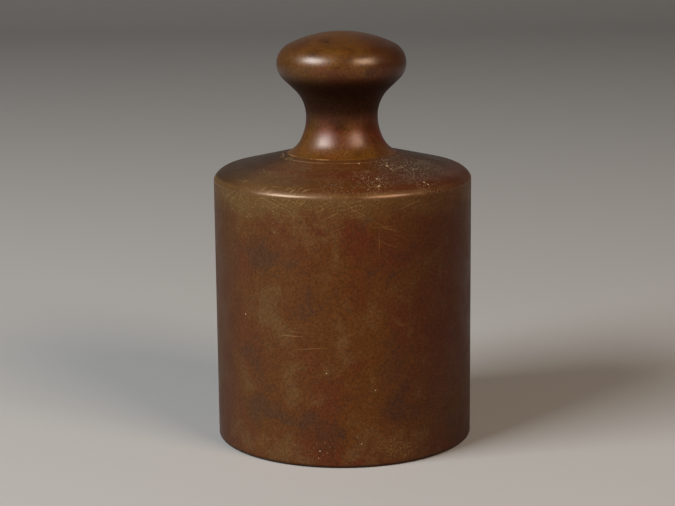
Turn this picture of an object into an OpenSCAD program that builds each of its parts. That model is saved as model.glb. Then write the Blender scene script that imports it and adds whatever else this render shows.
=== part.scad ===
// One kilogram knob weight, turned from brass in two pieces.
// The knob screws into the body and closes a drilled cavity that holds the adjusting shot.
// Every piece is a turned shape round the Z axis. The origin is the middle of the base.
// Sizes are in millimetres.

/* [Body] */
// Diameter of the body
body_d = 51; // [46:0.5:56]
// Height of the straight wall, up to where the rim begins to round over
wall_h = 51.6; // [48:0.1:60]
// Radius of the rounded rim
rim_r = 2.6; // [1:0.1:4]
// Slope of the top, from the rim up to the knob, in degrees
top_slope = 13.6; // [6:0.1:18]
// Radius of the small round at the foot
foot_r = 0.5; // [0.3:0.1:1.2]
// Diameter of the shallow recess turned in the base
base_recess_d = 40; // [30:0.5:44]
// Depth of that recess
base_recess_h = 0.2; // [0.1:0.1:0.8]

/* [Knob] */
// Diameter of the knob where it stands on the body
base_d = 21.8; // [20.4:0.1:23]
// Height of the thin edge round the knob's base
base_edge_h = 0.15; // [0.1:0.05:0.4]
// Radius of the hollow that flares from the waist down to the base
flare_r = 8.55; // [7:0.05:11]
// Diameter of the waist
waist_d = 14.15; // [13:0.05:15]
// Radius of the hollow under the head
under_r = 7.4; // [5.5:0.1:7.8]
// Diameter of the head
head_d = 25.5; // [24:0.1:27]
// Radius of the head's rounded edge
edge_r = 4.2; // [3:0.1:4.4]
// Height from the waist to the widest ring of the head
head_rise = 10.4; // [10:0.1:12.5]
// Height of the crown above that ring
crown_rise = 6.2; // [5.6:0.1:7]

/* [Screw] */
// Outer diameter of the screw thread, cut as a plain shank and a plain socket
thread_d = 14; // [12:0.5:14]
// Rise of the knob in one turn, which is the pitch of a coarse thread of this diameter
thread_pitch = 2; // [1:0.25:2]
// Radial clearance between shank and socket
thread_gap = 0.05; // [0.02:0.01:0.1]
// Length of the shank below the knob's base
shank_l = 12; // [8:0.5:14]
// Length of the thread relief under the knob's base
relief_l = 1.6; // [1:0.1:2.5]
// Free depth of the socket past the end of the shank
socket_spare = 2; // [1:0.5:4]

/* [Sealing washer] */
// Outer diameter of the washer
washer_d = 18.8; // [17:0.1:19.4]
// Thickness of the washer, pressed flat
washer_t = 0.8; // [0.5:0.1:1.2]
// Clearance round the washer and round the shank inside it
washer_gap = 0.1; // [0.05:0.05:0.3]

/* [Adjusting cavity] */
// Diameter of the drilled cavity, the tapping size of the thread
cavity_d = 12; // [10:0.1:12]
// Height of the cavity's flat floor above the base
floor_h = 20; // [8:0.5:23]
// Diameter of one pellet of adjusting shot
shot_d = 2.3; // [1.6:0.1:2.3]
// Layers of shot
shot_layers = 6; // [1:1:8]
// Clearance between one pellet and the next
shot_gap = 0.05; // [0.02:0.01:0.1]
// Thickness of the felt wad that lies on the shot
wad_t = 4; // [2:0.5:7]
// Clearance round the wad
wad_gap = 0.1; // [0.05:0.05:0.3]

/* [Hidden] */
$fn = 144;

body_r = body_d / 2;
base_r = base_d / 2;
waist_r = waist_d / 2;
head_r = head_d / 2;
socket_r = thread_d / 2;
shank_r = socket_r - thread_gap;
cavity_r = cavity_d / 2;

// A metric thread is 0.6134 of its pitch deep, and its ends are bevelled by half the pitch.
thread_depth = 0.6134 * thread_pitch;
thread_bevel = thread_pitch / 2;
relief_r = shank_r - thread_depth;

// The rim's arc ends where the sloping top leaves it.
rim_c = [body_r - rim_r, wall_h];
rim_end = rim_c + rim_r * [sin(top_slope), cos(top_slope)];

// The knob stands on a flat seat, a little wider than its base.
seat_margin = 0.2;
seat_r = base_r + seat_margin;
seat_z = rim_end.y + (rim_end.x - seat_r) * tan(top_slope);

// The flare is one arc from the edge of the base to the waist.
base_top = seat_z + base_edge_h;
flare_x = waist_r + flare_r;
waist_z = base_top + sqrt(flare_r * flare_r - (flare_x - base_r) * (flare_x - base_r));
flare_c = [flare_x, waist_z];

// The hollow under the head and the head's rounded edge meet on the line that touches both.
under_c = [waist_r + under_r, waist_z];
edge_c = [head_r - edge_r, waist_z + head_rise];
between = edge_c - under_c;
touch_a = atan2(between.y, between.x) + acos(min(1, (under_r + edge_r) / norm(between)));
touch_dir = [cos(touch_a), sin(touch_a)];
under_end = under_c + under_r * touch_dir;
edge_start = edge_c - edge_r * touch_dir;

// The crown is part of a sphere that the rounded edge runs into smoothly.
crown_z = edge_c.y + crown_rise;
crown_r = (edge_c.x * edge_c.x + crown_rise * crown_rise - edge_r * edge_r) / (2 * (crown_rise - edge_r));
crown_c = [0, crown_z - crown_r];
edge_end_a = atan2(edge_c.y - crown_c.y, edge_c.x);
edge_end = edge_c + edge_r * [cos(edge_end_a), sin(edge_end_a)];

// Heights inside the body.
shank_end_z = seat_z - shank_l;
socket_end_z = shank_end_z - socket_spare;
washer_z = seat_z - washer_t;
recess_r = washer_d / 2 + washer_gap;

// Shot lies in layers: one pellet in the middle, six round it, and twelve round those.
ring_step = shot_d + shot_gap;
layer_step = shot_d + shot_gap;
layer_twist = 17;
shot_rings = [1, 6, 12];
shot_top = floor_h + shot_layers * layer_step;

// Outline of the body's outside, as a half section.
module body_outline() {
    polygon([
        [0, 0], [body_r - foot_r, 0], [body_r, foot_r], [body_r, wall_h],
        rim_end, [seat_r, seat_z], [0, seat_z]
    ]);
    translate([body_r - foot_r, foot_r]) circle(foot_r);
    translate(rim_c) circle(rim_r);
}

// Half section of what is bored out of the body from above.
module socket_outline() {
    above = 1;
    polygon([
        [0, floor_h], [cavity_r, floor_h], [cavity_r, socket_end_z],
        [socket_r, socket_end_z], [socket_r, washer_z - thread_bevel],
        [socket_r + thread_bevel, washer_z], [recess_r, washer_z],
        [recess_r, seat_z + above], [0, seat_z + above]
    ]);
}

module body() {
    color("#5a3722")
    rotate_extrude()
    difference() {
        body_outline();
        socket_outline();
        translate([0, -base_recess_h]) square([base_recess_d / 2, 2 * base_recess_h]);
    }
}

// Half section of the hollow on one side of the waist: the disc above it, or the disc below it.
module hollow(centre, radius, lift) {
    intersection() {
        translate(centre) circle(radius);
        translate([0, waist_z + lift]) square([centre.x + radius, radius]);
    }
}

// Half section of the knob: shank, relief, base, two hollows, rounded edge and crown.
module knob_outline() {
    difference() {
        polygon([
            [0, shank_end_z], [shank_r - thread_bevel, shank_end_z],
            [shank_r, shank_end_z + thread_bevel], [shank_r, seat_z - relief_l - thread_depth],
            [relief_r, seat_z - relief_l], [relief_r, seat_z], [base_r, seat_z], [base_r, base_top],
            [waist_r, waist_z], under_end, edge_start, edge_end, [0, edge_end.y]
        ]);
        hollow(flare_c, flare_r, -flare_r);
        hollow(under_c, under_r, 0);
    }
    translate(edge_c) circle(edge_r);
    intersection() {
        translate(crown_c) circle(crown_r);
        translate([0, edge_c.y]) square([edge_end.x, crown_rise]);
    }
}

module knob() {
    color("#6b4428")
    rotate_extrude() knob_outline();
}

// The washer lies in a recess under the knob's base and goes up with the shank.
module seal_washer() {
    color("#4a3526")
    translate([0, 0, washer_z])
    difference() {
        cylinder(h = washer_t, r = washer_d / 2);
        translate([0, 0, -washer_t]) cylinder(h = 3 * washer_t, r = socket_r + washer_gap);
    }
}

// The wad lies on the shot and keeps it from rattling.
module shot_wad() {
    color("#b9ab90")
    translate([0, 0, shot_top]) cylinder(h = wad_t, r = cavity_r - wad_gap);
}

module pellet() {
    sphere(d = shot_d, $fn = 32);
}

module shot_layer() {
    for (ring = [0 : len(shot_rings) - 1], i = [0 : shot_rings[ring] - 1])
        rotate([0, 0, i * 360 / shot_rings[ring]])
        translate([ring * ring_step, 0, 0]) pellet();
}

module adjusting_shot() {
    color("#8d8f92")
    for (layer = [0 : shot_layers - 1])
        translate([0, 0, floor_h + (layer + 0.5) * layer_step])
        rotate([0, 0, layer * layer_twist]) shot_layer();
}

body();
knob();
seal_washer();
shot_wad();
adjusting_shot();
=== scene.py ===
import math
from functools import reduce

import bmesh
import bpy
from mathutils import Matrix, Vector, noise


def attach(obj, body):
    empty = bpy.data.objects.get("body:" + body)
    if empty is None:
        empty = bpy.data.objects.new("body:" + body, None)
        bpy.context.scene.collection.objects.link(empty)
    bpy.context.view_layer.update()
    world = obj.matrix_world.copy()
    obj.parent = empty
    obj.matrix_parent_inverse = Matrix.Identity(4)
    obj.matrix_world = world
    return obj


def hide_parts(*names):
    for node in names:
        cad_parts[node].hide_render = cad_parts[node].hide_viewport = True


mm = 0.001
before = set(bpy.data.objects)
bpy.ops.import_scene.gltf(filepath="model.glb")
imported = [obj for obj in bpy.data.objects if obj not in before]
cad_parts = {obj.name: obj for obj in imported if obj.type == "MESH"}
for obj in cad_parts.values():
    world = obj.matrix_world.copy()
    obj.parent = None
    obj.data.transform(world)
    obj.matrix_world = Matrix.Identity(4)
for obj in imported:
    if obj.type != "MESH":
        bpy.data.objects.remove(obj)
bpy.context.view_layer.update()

cameraSet = {
    "place": (0.0, -0.36244, 0.11349),  # metres
    "pitchDown": 0.2088,                # radians, like yaw and roll
    "yaw": -0.0031,
    "roll": -0.0096,
    "focalPixels": 1850.0,
    "sensorWidth": 36.0,
    "photoWidth": 675,
    "photoHeight": 506,
    "clip": (0.01, 20.0),
}


def addObject(name, data):
    made = bpy.data.objects.new(name, data)
    bpy.context.scene.collection.objects.link(made)
    return made


# a way in space: turned from +Y towards +X, then lifted, both in radians
def wayTo(turn, lift):
    return Vector((math.sin(turn) * math.cos(lift), math.cos(turn) * math.cos(lift), math.sin(lift)))


def cameraAxes():
    forward = wayTo(cameraSet["yaw"], -cameraSet["pitchDown"])
    right = forward.cross(Vector((0, 0, 1))).normalized()
    up = right.cross(forward)
    cosine = math.cos(cameraSet["roll"])
    sine = math.sin(cameraSet["roll"])
    return cosine * right + sine * up, cosine * up - sine * right, forward


def makeCamera():
    right, up, forward = cameraAxes()
    data = bpy.data.cameras.new("photoCamera")
    data.sensor_fit = "HORIZONTAL"
    data.sensor_width = cameraSet["sensorWidth"]
    data.lens = cameraSet["focalPixels"] * cameraSet["sensorWidth"] / cameraSet["photoWidth"]
    data.clip_start, data.clip_end = cameraSet["clip"]
    camera = addObject("photoCamera", data)
    turned = Matrix((right, up, -forward)).transposed()
    camera.matrix_world = Matrix.Translation(cameraSet["place"]) @ turned.to_4x4()
    bpy.context.scene.camera = camera


# where the sight line through a pixel of the photograph starts, and which way it goes
def pixelRay(px, py):
    right, up, forward = cameraAxes()
    x = (px - cameraSet["photoWidth"] / 2) / cameraSet["focalPixels"]
    y = (cameraSet["photoHeight"] / 2 - py) / cameraSet["focalPixels"]
    return Vector(cameraSet["place"]), (forward + x * right + y * up).normalized()


makeCamera()
print("camera ready")


# how a sum of values in a node tree becomes a Math node
def asMath(operation, swapped=False):
    def made(value, other):
        terms = (other, value) if swapped else (value, other)
        return value.graph.math(operation, *terms)
    return made


# a value in a node tree, so that sums are written as sums
class Value:
    def __init__(self, graph, socket):
        self.graph = graph
        self.socket = socket

    __add__ = asMath("ADD")
    __radd__ = asMath("ADD", True)
    __sub__ = asMath("SUBTRACT")
    __rsub__ = asMath("SUBTRACT", True)
    __mul__ = asMath("MULTIPLY")
    __truediv__ = asMath("DIVIDE")
    __rtruediv__ = asMath("DIVIDE", True)


# a short way to write node trees: an input is a number, a vector, a socket or a Value
class Graph:
    def __init__(self, tree):
        self.tree = tree

    def fill(self, node, inputs):
        for key, value in inputs.items():
            if isinstance(value, Value):
                value = value.socket
            if isinstance(value, bpy.types.NodeSocket):
                self.tree.links.new(value, node.inputs[key])
            elif value is not None:
                node.inputs[key].default_value = value

    def node(self, kind, inputs=None, **settings):
        made = self.tree.nodes.new(kind)
        for key, value in settings.items():
            setattr(made, key, value)
        self.fill(made, inputs or {})
        return made

    # a node, of which only one output is wanted
    def value(self, kind, inputs=None, output=0, **settings):
        return Value(self, self.node(kind, inputs, **settings).outputs[output])

    def math(self, operation, *terms, clamp=False):
        return self.value("ShaderNodeMath", dict(enumerate(terms)), operation=operation, use_clamp=clamp)

    def vector(self, operation, first, second=None, scale=None, output="Vector"):
        inputs = {0: first, 1: second}
        if scale is not None:
            inputs["Scale"] = scale
        return self.value("ShaderNodeVectorMath", inputs, output, operation=operation)

    # masks that come one by one are joined one by one: Cycles has no room to hold them all
    def highest(self, values):
        return reduce(lambda one, two: self.math("MAXIMUM", one, two), values)

    def lowest(self, values):
        return reduce(lambda one, two: self.math("MINIMUM", one, two), values)

    def combine(self, x=0.0, y=0.0, z=0.0):
        return self.value("ShaderNodeCombineXYZ", {"X": x, "Y": y, "Z": z})

    def separate(self, vector):
        return [Value(self, output) for output in self.node("ShaderNodeSeparateXYZ", {0: vector}).outputs]

    # a soft step while the value goes from start to full
    def ramp(self, value, start, full, toLow=0.0, toHigh=1.0):
        return self.value("ShaderNodeMapRange", {
            "Value": value, "From Min": start, "From Max": full, "To Min": toLow, "To Max": toHigh,
        }, interpolation_type="SMOOTHSTEP")

    # the same for a length, with start and full in mm
    def level(self, value, start, full, toLow=0.0, toHigh=1.0):
        return self.ramp(value, start * mm, full * mm, toLow, toHigh)

    def mix(self, factor, first, second):
        return self.value("ShaderNodeMix", {"Factor": factor, 6: first, 7: second}, 2, data_type="RGBA")

    def noise(self, vector, scale, detail=3.0, rough=0.55, distort=0.0, output=0):
        return self.value("ShaderNodeTexNoise", {
            "Vector": vector, "Scale": scale, "Detail": detail, "Roughness": rough, "Distortion": distort,
        }, output)

    def brighten(self, color, value):
        return self.value("ShaderNodeHueSaturation", {"Color": color, "Value": value})

    def bump(self, height):
        return self.value("ShaderNodeBump", {"Height": height, "Strength": 1.0, "Distance": 1.0})


# a screen colour as the linear values that Blender reckons with
def linear(red, green, blue):
    out = []
    for value in (red, green, blue):
        share = value / 255
        out.append(share / 12.92 if share <= 0.04045 else ((share + 0.055) / 1.055) ** 2.4)
    return (*out, 1.0)


def newMaterial(name):
    material = bpy.data.materials.new(name)
    material.use_nodes = True
    material.node_tree.nodes.clear()
    graph = Graph(material.node_tree)
    shader = graph.node("ShaderNodeBsdfPrincipled")
    graph.node("ShaderNodeOutputMaterial", {"Surface": shader.outputs[0]})
    return material, graph, shader, graph.value("ShaderNodeTexCoord", output="Object")


# a node group with named inputs: label, kind of socket and first value of each
def newTree(name, treeKind, inputs, output, outputKind):
    tree = bpy.data.node_groups.new(name, treeKind)
    for label, kind, value in inputs:
        socket = tree.interface.new_socket(label, in_out="INPUT", socket_type="NodeSocket" + kind)
        if value is not None:
            socket.default_value = value
    tree.interface.new_socket(output, in_out="OUTPUT", socket_type="NodeSocket" + outputKind)
    graph = Graph(tree)
    values = {socket.name: Value(graph, socket) for socket in graph.node("NodeGroupInput").outputs}
    return graph, values, graph.node("NodeGroupOutput")


def newGeometryTree(name, inputs):
    inputs = [("Geometry", "Geometry", None), *inputs, ("Material", "Material", None)]
    return newTree(name, "GeometryNodeTree", inputs, "Geometry", "Geometry")


# real geometry with the finish on it, as the last step of each tree
def finishTree(graph, inputs, end, geometry):
    real = graph.value("GeometryNodeRealizeInstances", {"Geometry": geometry})
    painted = {"Geometry": real, "Material": inputs["Material"]}
    graph.fill(end, {"Geometry": graph.value("GeometryNodeSetMaterial", painted)})
    return graph.tree


# reads point number "index" of the tree's input line
def linePoint(graph, inputs, index):
    place = graph.value("GeometryNodeInputPosition")
    return graph.separate(graph.value("GeometryNodeSampleIndex", {
        "Geometry": inputs["Geometry"], "Value": place, "Index": index,
    }, data_type="FLOAT_VECTOR", domain="POINT"))


# a grid of rows and columns, with the row and column of each of its points
def countedGrid(graph, rows, segments):
    columns = segments + 1
    mesh = graph.value("GeometryNodeMeshGrid", {"Vertices X": rows, "Vertices Y": columns}, "Mesh")
    index = graph.value("GeometryNodeInputIndex")
    row = graph.math("FLOOR", index / columns)
    return mesh, row, index - row * columns


def onCircle(graph, radius, angle, height):
    return graph.combine(radius * graph.math("COSINE", angle), radius * graph.math("SINE", angle), height)


# puts the points of a grid in place and closes its seam
def closedSurface(graph, inputs, end, mesh, place):
    moved = graph.value("GeometryNodeSetPosition", {"Geometry": mesh, "Position": place})
    merged = graph.value("GeometryNodeMergeByDistance", {"Geometry": moved, "Distance": weldGap})
    return finishTree(graph, inputs, end, merged)


# turns the input line, a half section in X and Z, once round the Z axis, as a lathe would
def latheTree():
    graph, inputs, end = newGeometryTree("latheTurn", [("Rows", "Int", 2), ("Segments", "Int", 192)])
    mesh, row, column = countedGrid(graph, inputs["Rows"], inputs["Segments"])
    angle = column / inputs["Segments"] * (-2 * math.pi)
    radius, flat, height = linePoint(graph, inputs, row)
    return closedSurface(graph, inputs, end, mesh, onCircle(graph, radius, angle, height))


# repeats the input line, one pitch of a thread's section, along a helix and cuts its ends off flat
def threadTree():
    graph, inputs, end = newGeometryTree("helixThread", [
        ("Rows in a pitch", "Int", 7),
        ("Segments", "Int", 192),
        ("Turns", "Int", 6),
        ("Pitch", "Float", 0.002),
        ("Low end", "Float", 0.0),
        ("High end", "Float", 0.01),
        ("Limit radius", "Float", 0.007),
        ("Low radius", "Float", 0.006),
        ("High radius", "Float", 0.006),
        ("Side", "Float", 1.0),
    ])
    rowsInPitch = inputs["Rows in a pitch"]
    low = inputs["Low end"]
    high = inputs["High end"]
    side = inputs["Side"]  # 1 for a thread on a shank and -1 for one in a socket
    mesh, row, column = countedGrid(graph, rowsInPitch * inputs["Turns"] + 1, inputs["Segments"])
    share = column / inputs["Segments"]
    turn = graph.math("FLOOR", row / rowsInPitch)
    radius, flat, along = linePoint(graph, inputs, row - turn * rowsInPitch)
    lift = (turn - 1 + share) * inputs["Pitch"]  # starts one turn too low
    height = graph.lowest([graph.highest([along + lift + low, low]), high])
    reach = graph.lowest([
        side * radius,
        side * inputs["Limit radius"],
        side * inputs["Low radius"] + (height - low),
        side * inputs["High radius"] + (high - height),
    ])
    spot = onCircle(graph, reach * side, share * (2 * math.pi), height)
    return closedSurface(graph, inputs, end, mesh, spot)


# runs a tree on a mesh and returns what it makes as a plain mesh
def evaluated(name, source, tree, values):
    obj = addObject(name, source)
    modifier = obj.modifiers.new("build", "NODES")
    modifier.node_group = tree
    sockets = {item.name: item.identifier for item in tree.interface.items_tree if item.in_out == "INPUT"}
    for label, value in values.items():
        modifier[sockets[label]] = value
    bpy.context.view_layer.update()
    depsgraph = bpy.context.evaluated_depsgraph_get()
    mesh = bpy.data.meshes.new_from_object(obj.evaluated_get(depsgraph), depsgraph=depsgraph)
    mesh.name = name
    obj.modifiers.remove(modifier)
    bpy.data.objects.remove(obj)
    return mesh


# a line in the XZ plane for a tree to read
def lineMesh(name, points):
    mesh = bpy.data.meshes.new(name)
    steps = [(i, i + 1) for i in range(len(points) - 1)]
    mesh.from_pydata([(x * mm, 0, z * mm) for x, z in points], steps, [])
    return mesh


# points on an arc, both ends included, angles in radians
def arc(centre, radius, start, end, steps):
    points = []
    for i in range(steps + 1):
        angle = start + (end - start) * i / steps
        points.append((centre[0] + radius * math.cos(angle), centre[1] + radius * math.sin(angle)))
    return points


# the same line with its inner corners rounded and its ends kept
def rounded(points, radius, steps=3):
    out = [points[0]]
    for before, here, after in zip(points, points[1:], points[2:]):
        corner = Vector(here)
        back = Vector(before) - corner
        on = Vector(after) - corner
        reach = min(radius, 0.45 * back.length, 0.45 * on.length)
        first = corner + back.normalized() * reach
        last = corner + on.normalized() * reach
        for i in range(steps + 1):
            share = i / steps
            spot = (1 - share) ** 2 * first + 2 * share * (1 - share) * corner + share * share * last
            out.append((spot.x, spot.y))
    out.append(points[-1])
    return out


# the same line with its long runs divided
def spaced(points, longest):
    out = [points[0]]
    for one, two in zip(points, points[1:]):
        run = math.hypot(two[0] - one[0], two[1] - one[1])
        if run < 1e-6:
            continue
        parts = max(1, math.ceil(run / longest))
        for i in range(1, parts + 1):
            share = i / parts
            out.append((one[0] + (two[0] - one[0]) * share, one[1] + (two[1] - one[1]) * share))
    return out


weldGap = 1e-6  # metres, within which points become one
latheTurn = latheTree()
helixThread = threadTree()


def turned(name, points, segments, material):
    values = {"Rows": len(points), "Segments": segments, "Material": material}
    return evaluated(name, lineMesh(name, points), latheTurn, values)


# welds the parts of one turned piece into one closed mesh whose faces point outwards
def welded(name, meshes, material, sharpAngle):
    work = bmesh.new()
    for mesh in meshes:
        work.from_mesh(mesh)
    bmesh.ops.remove_doubles(work, verts=work.verts, dist=weldGap)
    bmesh.ops.dissolve_degenerate(work, edges=work.edges, dist=weldGap / 10)
    bmesh.ops.recalc_face_normals(work, faces=work.faces)
    openEdges = [edge for edge in work.edges if len(edge.link_faces) != 2]
    volume = work.calc_volume(signed=True)
    if volume < 0:
        bmesh.ops.reverse_faces(work, faces=work.faces)
    mesh = bpy.data.meshes.new(name)
    work.to_mesh(mesh)
    work.free()
    mesh.materials.clear()
    mesh.materials.append(material)
    for polygon in mesh.polygons:
        polygon.material_index = 0
        polygon.use_smooth = True
    mesh.set_sharp_from_angle(angle=math.radians(sharpAngle))
    print(name, len(mesh.polygons), "faces, open edges", len(openEdges))
    print(name, "volume", round(abs(volume) / mm ** 3, 1), "mm3")
    return addObject(name, mesh)


# a plain turned piece with rounded corners
def turnedPiece(name, line, steps, sizes, material):
    line = spaced(rounded(line, sizes["edgeRound"], steps), sizes["longRun"])
    part = turned(name, line, sizes["segments"], material)
    return welded(name, [part], material, sizes["sharpAngle"])


def declare(piece, body, node):
    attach(piece, body)
    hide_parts(node)


screwSet = {
    "threadD": 14.0,
    "pitch": 2.0,
    "gap": 0.05,
    "shankL": 12.0,
    "reliefL": 1.6,
    "socketSpare": 2.0,
    "depthShare": 0.6134,  # a metric thread's depth, as a share of its pitch
    "maleCrest": 0.2,      # width of the flat on a crest
    "femaleCrest": 0.25,
    "flankSlope": 1.732,   # a 60 degree thread
}
socketR = screwSet["threadD"] / 2
shankR = socketR - screwSet["gap"]
rootR = shankR - screwSet["depthShare"] * screwSet["pitch"]


# one pitch of the thread, from the middle of one root to the next, without the last point
def threadSection(crestR, footR, crestWide):
    flank = (crestR - footR) / screwSet["flankSlope"]
    half = crestWide / 2
    between = (crestR + footR) / 2
    return [
        (footR, -screwSet["pitch"] / 2),
        (footR, -half - flank),
        (between, -half - flank / 2),
        (crestR, -half),
        (crestR, half),
        (between, half + flank / 2),
        (footR, half + flank),
    ]


# a thread between two heights; radii are its crest's, and those that its lower and upper ends start from
def thread(name, section, low, high, radii, side, segments, material):
    limit, atLow, atHigh = radii
    return evaluated(name, lineMesh(name, section), helixThread, {
        "Rows in a pitch": len(section),
        "Segments": segments,
        "Turns": math.ceil((high - low) / screwSet["pitch"]) + 2,  # one more at each end, cut off flat
        "Pitch": screwSet["pitch"] * mm,
        "Low end": low * mm,
        "High end": high * mm,
        "Limit radius": limit * mm,
        "Low radius": atLow * mm,
        "High radius": atHigh * mm,
        "Side": side,
        "Material": material,
    })


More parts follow.
